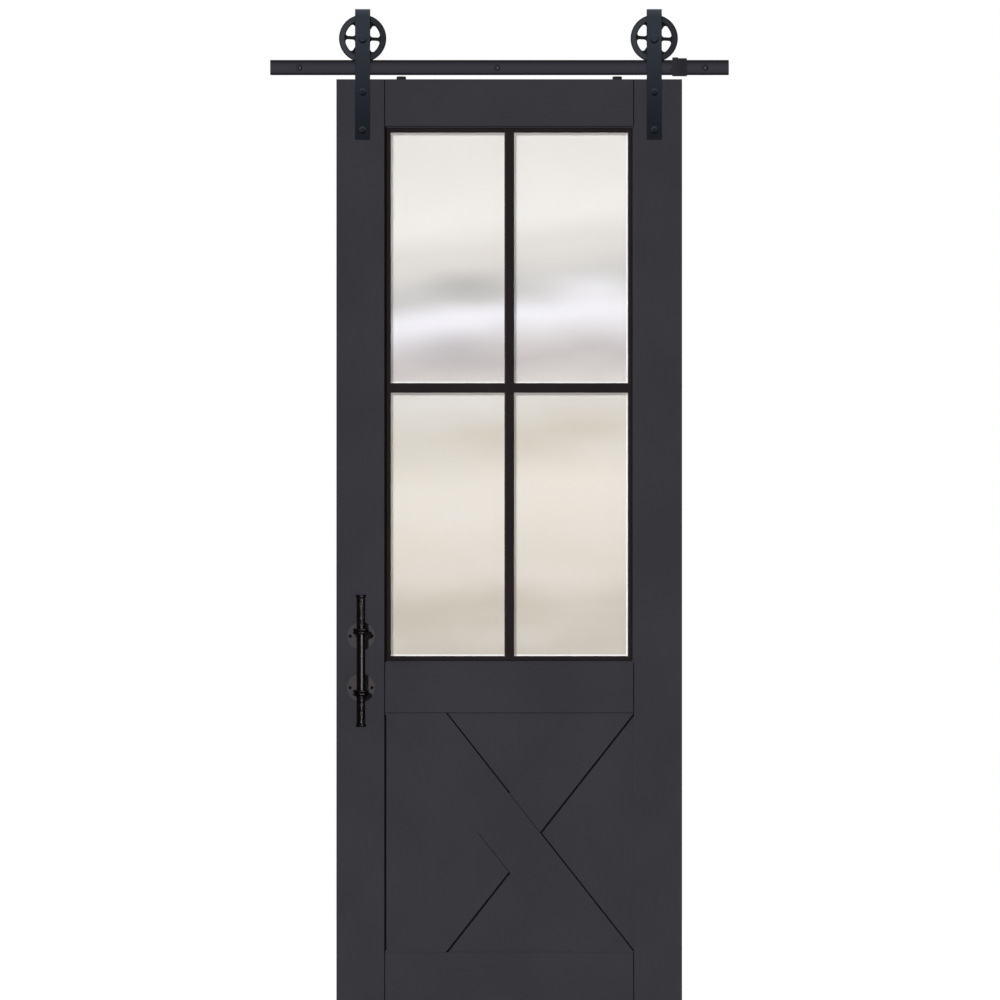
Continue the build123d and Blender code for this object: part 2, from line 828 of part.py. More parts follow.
# Spoked wheels: rim with a rail groove, web and hub turned in one, then the gaps cut between spokes
half_pitch = radians(180 / spoke_count)
half_spoke = spoke_width / 2
inner_reach = half_pitch - asin(half_spoke / spoke_root_radius)
outer_reach = half_pitch - asin(half_spoke / rim_inner_radius)
inner_corner = (spoke_root_radius * cos(inner_reach), spoke_root_radius * sin(inner_reach))
outer_corner = (rim_inner_radius * cos(outer_reach), rim_inner_radius * sin(outer_reach))
with BuildSketch() as spoke_gap:
    with BuildLine():
        ThreePointArc((inner_corner[0], -inner_corner[1]), (spoke_root_radius, 0), inner_corner)
        Line(inner_corner, outer_corner)
        ThreePointArc(outer_corner, (rim_inner_radius, 0), (outer_corner[0], -outer_corner[1]))
        Line((outer_corner[0], -outer_corner[1]), (inner_corner[0], -inner_corner[1]))
    make_face()
    corners = spoke_gap.vertices().group_by(Axis.X)
    fillet(corners[0], gap_inner_fillet)
    fillet(spoke_gap.vertices().group_by(Axis.X)[-1], gap_outer_fillet)

rim_side = wheel_width / 2
groove_side = groove_width / 2
for side, x in hanger_places.items():
    with BuildPart() as wheel:
        with BuildSketch(Plane(origin=(x, wheel_y, axle_z))) as section:
            with BuildLine():
                Polyline(
                    (rim_inner_radius, -rim_side),
                    (wheel_radius, -rim_side),
                    (wheel_radius, -groove_side - groove_taper),
                    (roll_radius, -groove_side),
                    (roll_radius, groove_side),
                    (wheel_radius, groove_side + groove_taper),
                    (wheel_radius, rim_side),
                    (rim_inner_radius, rim_side),
                    close=True,
                )
            make_face()
            rim_corners = section.vertices().group_by(Axis.Y)
            fillet(rim_corners[0] + rim_corners[-1], rim_edge_round)
            with Locations(((hub_radius + rim_inner_radius) / 2, 0)):
                Rectangle(rim_inner_radius - hub_radius + 2 * rim_edge_round, web_thickness)
            with Locations(((hub_radius + bearing_radius) / 2, 0)):
                Rectangle(hub_radius - bearing_radius, wheel_width)
        revolve(axis=Axis((x, wheel_y, axle_z), (0, 1, 0)))
        with BuildSketch(facing_front(wheel_y + rim_side)):
            with Locations((x, axle_z)):
                with PolarLocations(0, spoke_count, start_angle=degrees(half_pitch) + spoke_turn):
                    add(spoke_gap.sketch)
        extrude(amount=wheel_width, mode=Mode.SUBTRACT)
    wheel.part.label = f"wheel_{side}"
    export_step(wheel.part, f"parts/wheel_{side}.step")

# Guide discs on the door's top edge that keep it from lifting off the rail, and their screws
for side, x in disc_places.items():
    with BuildPart() as disc:
        with BuildSketch(Plane.XY.offset(door_top)):
            with Locations((x, disc_y)):
                Circle(disc_radius)
        extrude(amount=disc_height)
        fillet(disc.edges().group_by(Axis.Z)[-1], disc_edge_round)
        with Locations(Plane(origin=(x, disc_y, door_top + disc_height))):
            CounterSinkHole(
                screw_radius + screw_fit,
                screw_head_radius + screw_fit,
            )
    disc.part.label = f"guide_disc_{side}"
    export_step(disc.part, f"parts/guide_disc_{side}.step")

with BuildPart() as disc_screws:
    for x in disc_places.values():
        add(wood_screw(Plane(origin=(x, disc_y, door_top + disc_height)), disc_screw_length))
disc_screws.part.label = "guide_disc_screws"
export_step(disc_screws.part, "parts/guide_disc_screws.step")

# Pipe handle: two wall flanges, a bracket casting on each, a long pipe and two end nipples
flange_front_y = door_front_y - flange_thickness
boss_front_y = flange_front_y - flange_boss_height
for place, z in flange_places.items():
    outward = 1 if place == "upper" else -1
    with BuildPart() as flange:
        with BuildSketch(Plane(origin=(handle_x, 0, z))):
            with BuildLine():
                Polyline(
                    (0, door_front_y),
                    (flange_radius, door_front_y),
                    (flange_radius, flange_front_y + flange_round),
                    (flange_radius - flange_round, flange_front_y),
                    (flange_boss_radius + flange_round, flange_front_y),
                    (flange_boss_radius, flange_front_y - flange_round),
                    (flange_boss_radius, boss_front_y + flange_round),
                    (flange_boss_radius - flange_round, boss_front_y),
                    (0, boss_front_y),
                    close=True,
                )
            make_face()
        revolve(axis=Axis((handle_x, 0, z), (0, 1, 0)))
        with BuildSketch(facing_front(boss_front_y)):
            with Locations((handle_x, z)):
                Circle(post_radius + pipe_fit)
        extrude(amount=-flange_boss_height, mode=Mode.SUBTRACT)
        with Locations(Plane(origin=(handle_x, flange_front_y, z), x_dir=(1, 0, 0), z_dir=(0, -1, 0))):
            with PolarLocations(flange_hole_circle, flange_hole_count):
                CounterSinkHole(screw_radius + screw_fit, screw_head_radius + screw_fit)
    flange.part.label = f"handle_flange_{place}"
    export_step(flange.part, f"parts/handle_flange_{place}.step")

    collar_z = z + outward * collar_offset
    with BuildPart() as bracket:
        with BuildSketch(facing_front(flange_front_y)):
            with Locations((handle_x, z)):
                Circle(post_radius)
        extrude(amount=flange_front_y - handle_y)
        with BuildSketch(Plane(origin=(handle_x, handle_y, collar_z), x_dir=(1, 0, 0), z_dir=(0, -1, 0))):
            with Locations((collar_waist_radius / 2, 0)):
                Rectangle(collar_waist_radius, collar_height)
            for bead_z in (-collar_height / 4, collar_height / 4):
                with Locations((collar_waist_radius, bead_z)):
                    Ellipse(collar_radius - collar_waist_radius, collar_height / 4)
        revolve(axis=Axis((handle_x, handle_y, collar_z), (0, 0, 1)))
        with BuildSketch(Plane.XY.offset(z)):
            with Locations((handle_x, handle_y)):
                Circle(pipe_radius + pipe_fit)
        extrude(amount=collar_offset + collar_height, both=True, mode=Mode.SUBTRACT)
    bracket.part.label = f"handle_bracket_{place}"
    export_step(bracket.part, f"parts/handle_bracket_{place}.step")

    pipe_reach = upper_pipe_reach if outward > 0 else lower_pipe_reach
    with BuildPart() as nipple:
        with BuildSketch(Plane(origin=(handle_x, handle_y, z), x_dir=(1, 0, 0), z_dir=(0, -outward, 0))):
            with BuildLine():
                Polyline(
                    (0, collar_offset),
                    (pipe_radius, collar_offset),
                    (pipe_radius, pipe_reach - pipe_rim_height),
                    (pipe_rim_radius, pipe_reach - pipe_rim_height + pipe_rim_round),
                    (pipe_rim_radius, pipe_reach - pipe_rim_round),
                    (pipe_rim_radius - pipe_rim_round, pipe_reach),
                    (plug_recess_radius + head_edge, pipe_reach),
                    (plug_recess_radius, pipe_reach - plug_recess_depth),
                    (0, pipe_reach - plug_recess_depth),
                    close=True,
                )
            make_face()
        revolve(axis=Axis((handle_x, handle_y, z), (0, 0, 1)))
    nipple.part.label = f"handle_nipple_{place}"
    export_step(nipple.part, f"parts/handle_nipple_{place}.step")

with BuildPart() as handle_screws:
    for spot_x, spot_z in handle_screw_spots():
        spot = (spot_x, flange_front_y, spot_z)
        add(wood_screw(Plane(origin=spot, x_dir=(1, 0, 0), z_dir=(0, -1, 0)), flange_screw_length))
handle_screws.part.label = "handle_screws"
export_step(handle_screws.part, "parts/handle_screws.step")

with BuildPart() as pipe:
    with BuildSketch(Plane.XY.offset(lower_flange_z - collar_offset)):
        with Locations((handle_x, handle_y)):
            Circle(pipe_radius)
            Circle(pipe_radius - pipe_wall, mode=Mode.SUBTRACT)
    extrude(amount=flange_spacing + 2 * collar_offset)
pipe.part.label = "handle_pipe"
export_step(pipe.part, "parts/handle_pipe.step")
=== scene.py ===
from math import atan2, cos, pi, radians, sin

import bmesh
import bpy
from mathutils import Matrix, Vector


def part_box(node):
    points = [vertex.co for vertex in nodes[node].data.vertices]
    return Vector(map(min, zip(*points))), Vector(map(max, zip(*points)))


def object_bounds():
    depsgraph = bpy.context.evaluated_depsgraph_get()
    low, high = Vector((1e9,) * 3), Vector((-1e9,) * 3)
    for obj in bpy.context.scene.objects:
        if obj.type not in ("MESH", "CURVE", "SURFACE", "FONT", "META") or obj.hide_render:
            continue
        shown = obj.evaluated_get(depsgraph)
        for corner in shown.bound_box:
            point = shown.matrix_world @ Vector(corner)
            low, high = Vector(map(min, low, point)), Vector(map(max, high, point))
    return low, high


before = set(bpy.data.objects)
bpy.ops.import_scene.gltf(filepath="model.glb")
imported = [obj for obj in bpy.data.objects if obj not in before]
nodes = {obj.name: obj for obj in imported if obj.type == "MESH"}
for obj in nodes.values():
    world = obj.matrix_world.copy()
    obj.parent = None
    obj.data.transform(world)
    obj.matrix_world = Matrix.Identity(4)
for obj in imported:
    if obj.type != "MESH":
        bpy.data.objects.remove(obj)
loaded_low, loaded_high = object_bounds()

# Sizes and places, in metres

# The photograph's frame at the door's front face, with the lens and sensor in millimetres
view_width = 2.645
lens_length = 400
sensor_size = 36
camera_x = 0.0087
camera_z = -1.1442
door_front_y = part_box("stile_left_front")[0].y
camera_distance = view_width * lens_length / sensor_size
sight_limit = 10 * camera_distance

# The floor lies just below the leaf
floor_gap = 0.012
floor_radius = 6.0
floor_sides = 96

# The gloss cards stand off from this height on the leaf
card_height = -1.2
card_distance = 4.0

# Heights that carry a change of tone: painted sheen and shade on the straps, painted shade on the rail, and
# painted light and shade in the glass
strap_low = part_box("strap_left")[0].z
strap_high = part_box("strap_left")[1].z
track_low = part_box("track_rail")[0].z
track_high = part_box("track_rail")[1].z
glass_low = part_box("glass_pane")[0].z
glass_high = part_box("glass_pane")[1].z

# A painted highlight line runs along the foot of each row of panes and up the window's right edge
highlight_line = 0.0040
frame_face = 0.0124
muntin_face = 0.0254
muntin_rise = 0.017
bars_low, bars_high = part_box("window_bars_front")
bars_middle = (bars_low + bars_high) / 2
pane_right = bars_high.x - frame_face
pane_feet = (bars_low.z + frame_face, bars_middle.z + muntin_rise + muntin_face / 2)

# How far in from a sharp edge its tone reaches
bolt_edge = 0.0006
coat_edge = 0.0014
strap_edge = 0.0016

# Depths of the bumps
paint_depth = 0.00006
pebble_depth = 0.00005
forge_depth = 0.00012
turning_depth = 0.00004
bolt_depth = 0.00004
hammer_depth = 0.0018
grit_depth = 0.00003
drawing_depth = 0.00001
sand_depth = 0.00008
frost_depth = 0.00004

# Pitches of the turning marks
wheel_pitch = 0.0012
bearing_pitch = 0.0004
disc_pitch = 0.0008

# Sizes of the patterns, in repeats a metre, and where there are three, across, through and up
grain_run = (260, 260, 7)
paint_cloud = 5.0
orange_peel = 900.0
coat_pebble = 1500.0
coat_cloud = 9.0
forge_cloud = 34.0
forge_pebble = 1300.0
turned_cloud = 60.0
bolt_speck = 420.0
hammer_marks = 160.0
iron_grit = 700.0
iron_cloud = 90.0
drawn_lines = (900, 900, 12)
pipe_cloud = 50.0
plate_sand = 1100.0
plate_patch = 70.0
glass_drift = (1.6, 1, 2.2)
glass_drift_size = 1.6
glass_patch = (1.0, 1.0, 3.0)
glass_patch_size = 3.2
glass_frost = 1700.0

# Colours, linear
charcoal_paint = (0.0325, 0.0315, 0.0375)
track_coat = (0.0315, 0.0300, 0.0380)
stop_share = 0.62
# The straps' painted shade at the foot and painted sheen at the bend
strap_low_shade = (0.0058, 0.0072, 0.0104)
strap_high_sheen = (0.0240, 0.0278, 0.0365)
wheel_coat = (0.0310, 0.0340, 0.0415)
bolt_coat = (0.012, 0.0125, 0.015)
worn_edge = (0.075, 0.075, 0.078)
dome_coat = (0.018, 0.021, 0.028)
black_paint = (0.0110, 0.0078, 0.0085)
rubber = (0.0205, 0.0195, 0.0250)
ground_steel = (0.50, 0.50, 0.51)
pipe_black = (0.0014, 0.0006, 0.0010)
iron_black = (0.0020, 0.0012, 0.0017)
flange_iron = (0.045, 0.0415, 0.045)
flange_rust = (0.051, 0.043, 0.042)
glass_haze = (0.80, 0.78, 0.75)
# The glass's painted highlight line
glass_edge_highlight = (1.0, 1.0, 0.98)
floor_pale = (0.35, 0.35, 0.35)

# Painted shade on the rail: its colour's shares from its lower edge to its upper edge, darker at both edges
track_painted_shade = (
    (0.00, 0.15),
    (0.10, 0.15),
    (0.15, 0.78),
    (0.30, 0.95),
    (0.50, 1.08),
    (0.68, 0.92),
    (0.84, 0.55),
    (0.92, 0.20),
    (1.00, 0.15),
)

# Painted shade on the wheel: its colour's shares from its axle to its rim's outer edge, dark on the spokes
# and at the rim's edges, paler in the rim's middle
wheel_painted_shade = (
    (0.00, 0.08),
    (0.70, 0.08),
    (0.75, 0.25),
    (0.81, 0.95),
    (0.88, 1.10),
    (0.93, 1.00),
    (0.97, 0.45),
    (1.00, 0.10),
)

# Painted light and shade in the glass: bands from its foot to its head, which lean and drift a little
glass_painted_bands = (
    (0.02, (0.60, 0.56, 0.49)),
    (0.10, (0.59, 0.55, 0.47)),
    (0.17, (0.73, 0.68, 0.61)),
    (0.32, (0.80, 0.76, 0.69)),
    (0.42, (0.66, 0.62, 0.54)),
    (0.50, (0.73, 0.70, 0.67)),
    (0.56, (0.57, 0.53, 0.53)),
    (0.64, (0.88, 0.87, 0.91)),
    (0.69, (0.61, 0.60, 0.59)),
    (0.77, (0.75, 0.72, 0.69)),
    (0.83, (0.86, 0.84, 0.81)),
    (0.96, (0.81, 0.79, 0.76)),
)
band_lean = -0.08
band_drift = 0.09

# Painted light and shade in the glass as soft ovals: centre across and up, reach across and up, strength,
# tone
glass_painted_spots = (
    ((-0.075, -0.578), (0.17, 0.058), 0.55, (0.40, 0.39, 0.38)),
    ((0.260, -0.580), (0.20, 0.060), 0.60, (0.92, 0.91, 0.94)),
    ((-0.120, -0.745), (0.20, 0.070), 0.45, (0.44, 0.42, 0.43)),
)

# What the floor adds to its lamplight where it is seen, and what the world casts on paint
floor_glow = 0.88
studio_level = 0.04

# The cosines, between a face and its softened normal, where an edge begins and where it is full
edge_begins = 0.995
edge_full = 0.90

# The span that a noise mostly keeps to
noise_low = 0.3
noise_high = 0.7


# Shader nodes

def shade(colour, factor):
    return tuple(channel * factor for channel in colour)


class Surface:
    """A Principled material and the few nodes that its detail is made of."""

    def __init__(self, name, roughness, specular, metallic=0.0):
        self.material = bpy.data.materials.new(name)
        self.material.use_nodes = True
        self.tree = self.material.node_tree
        self.shader = self.tree.nodes["Principled BSDF"]
        self.shader.inputs["Roughness"].default_value = roughness
        self.shader.inputs["Specular IOR Level"].default_value = specular
        self.shader.inputs["Metallic"].default_value = metallic
        self.place = self.tree.nodes.new("ShaderNodeTexCoord").outputs["Object"]

    def node(self, kind, **settings):
        made = self.tree.nodes.new(kind)
        for key, value in settings.items():
            setattr(made, key, value)
        return made

    def link(self, source, socket):
        self.tree.links.new(source, socket)

    def vector(self, operation, first, second):
        """A vector worked out from a socket and a plain vector."""
        made = self.node("ShaderNodeVectorMath", operation=operation)
        self.link(first, made.inputs[0])
        made.inputs[1].default_value = second
        return made.outputs[0]

    def length(self, vector):
        made = self.node("ShaderNodeVectorMath", operation="LENGTH")
        self.link(vector, made.inputs[0])
        return made.outputs["Value"]

    def mapped(self, stretch, turn=0.0):
        """The part's coordinates, turned about Y and then stretched."""
        turned = self.node("ShaderNodeVectorRotate", rotation_type="Y_AXIS")
        turned.inputs["Angle"].default_value = turn
        self.link(self.place, turned.inputs["Vector"])
        return self.vector("MULTIPLY", turned.outputs[0], stretch)

    def along(self, axis):
        split = self.node("ShaderNodeSeparateXYZ")
        self.link(self.place, split.inputs[0])
        return split.outputs[axis]

    def away(self, centre):
        """The distance from an axis along Y."""
        return self.length(self.vector("MULTIPLY", self.vector("SUBTRACT", self.place, centre), (1, 0, 1)))

    def noise(self, scale, detail, rough=0.5, vector=None):
        made = self.node("ShaderNodeTexNoise")
        made.inputs["Scale"].default_value = scale
        made.inputs["Detail"].default_value = detail
        made.inputs["Roughness"].default_value = rough
        self.link(vector or self.place, made.inputs["Vector"])
        return made.outputs["Fac"]

    def dimples(self, scale):
        made = self.node("ShaderNodeTexVoronoi", feature="SMOOTH_F1")
        made.inputs["Scale"].default_value = scale
        self.link(self.place, made.inputs["Vector"])
        return made.outputs["Distance"]

    def rings(self, centre, pitch):
        """A height that rises and falls with the distance from an axis along Y."""
        line = self.node("ShaderNodeCombineXYZ")
        self.link(self.away(centre), line.inputs["X"])
        return self.noise(1 / pitch, detail=2.0, vector=line.outputs[0])

    def span(self, value, low, high):
        """0 at the low value and 1 at the high one, in a straight line."""
        made = self.node("ShaderNodeMapRange")
        made.inputs["From Min"].default_value = low
        made.inputs["From Max"].default_value = high
        self.link(value, made.inputs["Value"])
        return made.outputs["Result"]

    def share(self, value, low, high, low_out=0.0, high_out=1.0):
        """As span, but eased at both ends and between any two results."""
        made = self.node("ShaderNodeMapRange", interpolation_type="SMOOTHSTEP")
        for key, number in zip(("From Min", "From Max", "To Min", "To Max"), (low, high, low_out, high_out)):
            made.inputs[key].default_value = number
        self.link(value, made.inputs["Value"])
        return made.outputs["Result"]

    def near(self, value, place, reach):
        """1 within reach of a place, and 0 elsewhere."""
        made = self.node("ShaderNodeMath", operation="COMPARE")
        self.link(value, made.inputs[0])
        made.inputs[1].default_value = place
        made.inputs[2].default_value = reach
        return made.outputs[0]

    def spot(self, centre, reach, strength):
        """The strength at the centre of a soft oval, falling to 0 at its rim."""
        offset = self.vector("SUBTRACT", self.place, (centre[0], 0, centre[1]))
        oval = self.vector("MULTIPLY", offset, (1 / reach[0], 0, 1 / reach[1]))
        return self.share(self.length(oval), 0.0, 1.0, low_out=strength, high_out=0.0)

    def either(self, first, second):
        made = self.node("ShaderNodeMath", operation="MAXIMUM")
        self.link(first, made.inputs[0])
        self.link(second, made.inputs[1])
        return made.outputs[0]

    def add(self, first, second, weight):
        """The first value and a share of the second."""
        made = self.node("ShaderNodeMath", operation="MULTIPLY_ADD")
        made.inputs[1].default_value = weight
        self.link(second, made.inputs[0])
        self.link(first, made.inputs[2])
        return made.outputs[0]

    def blend(self, factor, low, high):
        """A colour between two: each is a colour or a socket."""
        made = self.node("ShaderNodeMix", data_type="RGBA")
        self.link(factor, made.inputs["Factor"])
        for socket, colour in ((made.inputs[6], low), (made.inputs[7], high)):
            if isinstance(colour, tuple):
                socket.default_value = (*colour, 1)
            else:
                self.link(colour, socket)
        return made.outputs[2]

    def ramp(self, factor, stops):
        made = self.node("ShaderNodeValToRGB")
        elements = made.color_ramp.elements
        made.color_ramp.interpolation = "EASE"
        while len(elements) < len(stops):
            elements.new(0.5)
        for element, (position, colour) in zip(elements, stops):
            element.position = position
            element.color = (*colour, 1)
        self.link(factor, made.inputs["Fac"])
        return made.outputs["Color"]

    def toned(self, factor, colour, tones):
        """The colour's shades along a ramp of places and shares."""
        return self.ramp(factor, tuple((place, shade(colour, share)) for place, share in tones))

    def mottled(self, value, low, high, colour, dark, light):
        """A darker shade of the colour where the value is low, and a lighter one where it is high."""
        return self.blend(self.share(value, low, high), shade(colour, dark), shade(colour, light))

    def edges(self, reach):
        """0 on the flats and 1 at the sharp edges, within reach."""
        softened = self.node("ShaderNodeBevel", samples=4)
        softened.inputs["Radius"].default_value = reach
        true = self.node("ShaderNodeNewGeometry")
        likeness = self.node("ShaderNodeVectorMath", operation="DOT_PRODUCT")
        self.link(softened.outputs["Normal"], likeness.inputs[0])
        self.link(true.outputs["True Normal"], likeness.inputs[1])
        return self.share(likeness.outputs["Value"], edge_begins, edge_full)

    def rimmed(self, base, reach, strength, tone):
        """The base colour, which turns towards a tone at the sharp edges."""
        return self.blend(self.share(self.edges(reach), 0.0, 1.0, high_out=strength), base, tone)

    def colour(self, socket):
        self.link(socket, self.shader.inputs["Base Color"])

    def rough(self, value, low, high):
        self.link(self.share(value, noise_low, noise_high, low, high), self.shader.inputs["Roughness"])

    def bump(self, value, depth, under=None):
        made = self.node("ShaderNodeBump")
        made.inputs["Strength"].default_value = 1
        made.inputs["Distance"].default_value = depth
        self.link(value, made.inputs["Height"])
        if under:
            self.link(under, made.inputs["Normal"])
        self.link(made.outputs["Normal"], self.shader.inputs["Normal"])
        return made.outputs["Normal"]


# Materials

def board_paint(name, colour, turn=0.0):
    """Satin paint over wood: the grain runs along the board, which is turned from upright."""
    surface = Surface(name, roughness=0.5, specular=0.06)
    grain = surface.noise(1.0, detail=4.0, rough=0.6, vector=surface.mapped(grain_run, turn))
    cloud = surface.noise(paint_cloud, detail=4.0)
    peel = surface.noise(orange_peel, detail=2.0)
    tone = surface.add(cloud, grain, weight=0.5)
    surface.colour(surface.mottled(tone, 0.55, 0.95, colour, dark=0.94, light=1.06))
    surface.rough(cloud, low=0.44, high=0.54)
    surface.bump(surface.add(grain, peel, weight=0.35), paint_depth)
    return surface.material


def pebbled(name, roughness):
    """The fine bump of powder coat and moulded rubber, still without its colour."""
    surface = Surface(name, roughness, specular=0.1)
    pebble = surface.noise(coat_pebble, detail=2.0)
    surface.rough(pebble, low=roughness - 0.05, high=roughness + 0.07)
    surface.bump(pebble, pebble_depth)
    return surface


def powder_coat(name, colour, roughness=0.46, edge_painted_shade=0.0):
    """A fine-textured coat, with painted shade that darkens the edges by the given share."""
    surface = pebbled(name, roughness)
    cloud = surface.noise(coat_cloud, detail=5.0)
    skin = surface.mottled(cloud, noise_low, noise_high, colour, dark=0.93, light=1.07)
    surface.colour(surface.rimmed(skin, coat_edge, strength=edge_painted_shade, tone=shade(colour, 0.1)))
    return surface.material


def track_paint_and_shade(name, colour, low, high):
    """The same coat on the rail, with painted shade that darkens it towards the upper and lower edges."""
    surface = pebbled(name, roughness=0.46)
    surface.colour(surface.toned(surface.span(surface.along("Z"), low, high), colour, track_painted_shade))
    return surface.material


def forged_coat_and_shade(name, low_colour, high_colour, low, high):
    """The blue-black of the straps, with painted sheen that pales it at the bend, painted shade that darkens
    it at the foot and at the sharp edges, and a cloudy skin.
    """
    surface = Surface(name, roughness=0.42, specular=0.08)
    skin = surface.noise(forge_cloud, detail=6.0, rough=0.62)
    pebble = surface.noise(forge_pebble, detail=2.0)
    # Painted sheen and shade: paler towards the bend, darker towards the foot, and darker at the sharp edges
    fall = surface.share(surface.add(surface.along("Z"), skin, weight=0.03), low, high)
    base = surface.blend(fall, low_colour, high_colour)
    surface.colour(surface.rimmed(base, strap_edge, strength=0.7, tone=low_colour))
    surface.rough(skin, low=0.34, high=0.50)
    surface.bump(surface.add(skin, pebble, weight=0.12), forge_depth)
    return surface.material


def wheel_paint_and_shade(name, colour, centre, reach):
    """The wheel's coat, with painted shade: dark spokes, and a rim that is paler in its middle and at its
    left, and darker at its edges and its right.
    """
    surface = Surface(name, roughness=0.42, specular=0.12)
    rings = surface.rings(centre, wheel_pitch)
    coat = surface.toned(surface.span(surface.away(centre), 0.0, reach), colour, wheel_painted_shade)
    # Painted shade: the rim darkens from its left side to its right
    side = surface.span(surface.along("X"), centre[0] - reach, centre[0] + reach)
    surface.colour(surface.blend(surface.share(side, 0.0, 1.0, high_out=0.75), coat, shade(colour, 0.25)))
    surface.rough(rings, low=0.36, high=0.50)
    surface.bump(rings, turning_depth)
    return surface.material


def turned_metal(name, colour, centre, pitch, roughness, metallic=0.0):
    """Metal from a lathe: fine rings about the axle, and painted shade that darkens the sharp edges."""
    surface = Surface(name, roughness, specular=0.12, metallic=metallic)
    rings = surface.rings(centre, pitch)
    tone = surface.add(rings, surface.noise(turned_cloud, detail=4.0), weight=0.6)
    skin = surface.mottled(tone, 0.5, 1.1, colour, dark=0.86, light=1.14)
    surface.colour(surface.rimmed(skin, coat_edge, strength=0.7, tone=shade(colour, 0.2)))
    surface.rough(rings, low=roughness - 0.06, high=roughness + 0.08)
    surface.bump(rings, turning_depth)
    return surface.material


def bolt_metal(name, colour, edge, specular):
    """Black oxide, with another tone along its edges: paler wear, or a painted shade outline where the edge
    tone is dark.
    """
    surface = Surface(name, roughness=0.34, specular=specular)
    speck = surface.noise(bolt_speck, detail=4.0, rough=0.6)
    base = surface.mottled(speck, 0.35, 0.7, colour, dark=0.8, light=1.3)
    surface.colour(surface.rimmed(base, bolt_edge, strength=0.5, tone=edge))
    surface.rough(speck, low=0.26, high=0.42)
    surface.bump(speck, bolt_depth)
    return surface.material


def hammered_iron(name, colour):
    """Cast iron with shallow hammer marks under black."""
    surface = Surface(name, roughness=0.34, specular=0.009)
    cloud = surface.noise(iron_cloud, detail=4.0)
    surface.colour(surface.mottled(cloud, 0.35, 0.7, colour, dark=0.6, light=1.6))
    surface.rough(cloud, low=0.26, high=0.44)
    marks = surface.bump(surface.dimples(hammer_marks), hammer_depth)
    surface.bump(surface.noise(iron_grit, detail=3.0), grit_depth, under=marks)
    return surface.material


def drawn_pipe(name, colour):
    """Black pipe, drawn lengthwise."""
    surface = Surface(name, roughness=0.3, specular=0.015)
    lines = surface.noise(1.0, detail=3.0, vector=surface.mapped(drawn_lines))
    cloud = surface.noise(pipe_cloud, detail=4.0)
    surface.colour(surface.mottled(cloud, 0.35, 0.7, colour, dark=0.7, light=1.5))
    surface.rough(lines, low=0.27, high=0.36)
    surface.bump(lines, drawing_depth)
    return surface.material


def raw_iron(name, colour, stain):
    """The mounting plates: sandy dark iron with a breath of brown."""
    surface = Surface(name, roughness=0.5, specular=0.1)
    sand = surface.noise(plate_sand, detail=3.0)
    patch = surface.noise(plate_patch, detail=5.0, rough=0.6)
    surface.colour(surface.blend(surface.share(patch, 0.4, 0.75), colour, stain))
    surface.rough(patch, low=0.42, high=0.58)
    surface.bump(surface.add(sand, patch, weight=1.5), sand_depth)
    return surface.material


def frosted(name, low, high):
    """Etched glass with painted light and shade: soft level bands and ovals for the light behind it, and
    painted highlight lines at the panes' feet and the window's right edge.
    """
    surface = Surface(name, roughness=0.55, specular=0.3)
    surface.shader.inputs["Transmission Weight"].default_value = 0.27
    surface.shader.inputs["IOR"].default_value = 1.45
    drift = surface.noise(glass_drift_size, detail=2.0, vector=surface.mapped(glass_drift))
    leaning = surface.add(surface.along("Z"), surface.along("X"), weight=band_lean)
    wavy = surface.add(leaning, drift, weight=band_drift)
    painted_bands = surface.ramp(surface.span(wavy, low + band_drift / 2, high + band_drift / 2), glass_painted_bands)
    patch = surface.noise(glass_patch_size, detail=2.0, vector=surface.mapped(glass_patch))
    skin = surface.blend(surface.share(patch, 0.35, 0.75, high_out=0.30), painted_bands, glass_haze)
    for centre, reach, strength, tone in glass_painted_spots:
        skin = surface.blend(surface.spot(centre, reach, strength), skin, tone)
    # Painted highlight lines along the panes' feet and the window's right edge
    lines = surface.near(surface.along("X"), pane_right - highlight_line / 2, highlight_line / 2)
    for foot in pane_feet:
        lines = surface.either(lines, surface.near(surface.along("Z"), foot + highlight_line / 2, highlight_line / 2))
    surface.colour(surface.blend(lines, skin, glass_edge_highlight))
    surface.bump(surface.noise(glass_frost, detail=2.0), frost_depth)
    return surface.material


def axle_of(node):
    low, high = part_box(node)
    return tuple((low + high) / 2)


def dress(material, *names):
    for name in names:
        for slot in nodes[name].material_slots:
            slot.material = material


# The leaf
brace_low, brace_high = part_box("brace_long_front")
brace_turn = atan2(brace_high.x - brace_low.x, brace_high.z - brace_low.z)
upright = board_paint("charcoal paint, upright boards", charcoal_paint)
level = board_paint("charcoal paint, level boards", charcoal_paint, pi / 2)
rising = board_paint("charcoal paint, rising brace", charcoal_paint, -brace_turn)
falling = board_paint("charcoal paint, falling braces", charcoal_paint, brace_turn)
for side in ("front", "back"):
    dress(upright, f"stile_left_{side}", f"stile_right_{side}")
    dress(level, f"top_rail_{side}", f"middle_rail_{side}", f"bottom_rail_{side}")
    dress(rising, f"brace_long_{side}")
    dress(falling, f"brace_upper_{side}", f"brace_lower_{side}")
dress(upright, "core_panel")
dress(board_paint("black paint, window bars", black_paint), "window_bars_front", "window_bars_back")
dress(frosted("frosted glass", glass_low, glass_high), "glass_pane")
# Painted shade darkens the edges of the gasket and the buffer
dress(powder_coat("moulded rubber", rubber, roughness=0.7, edge_painted_shade=0.8), "glass_gasket", "stop_buffer")
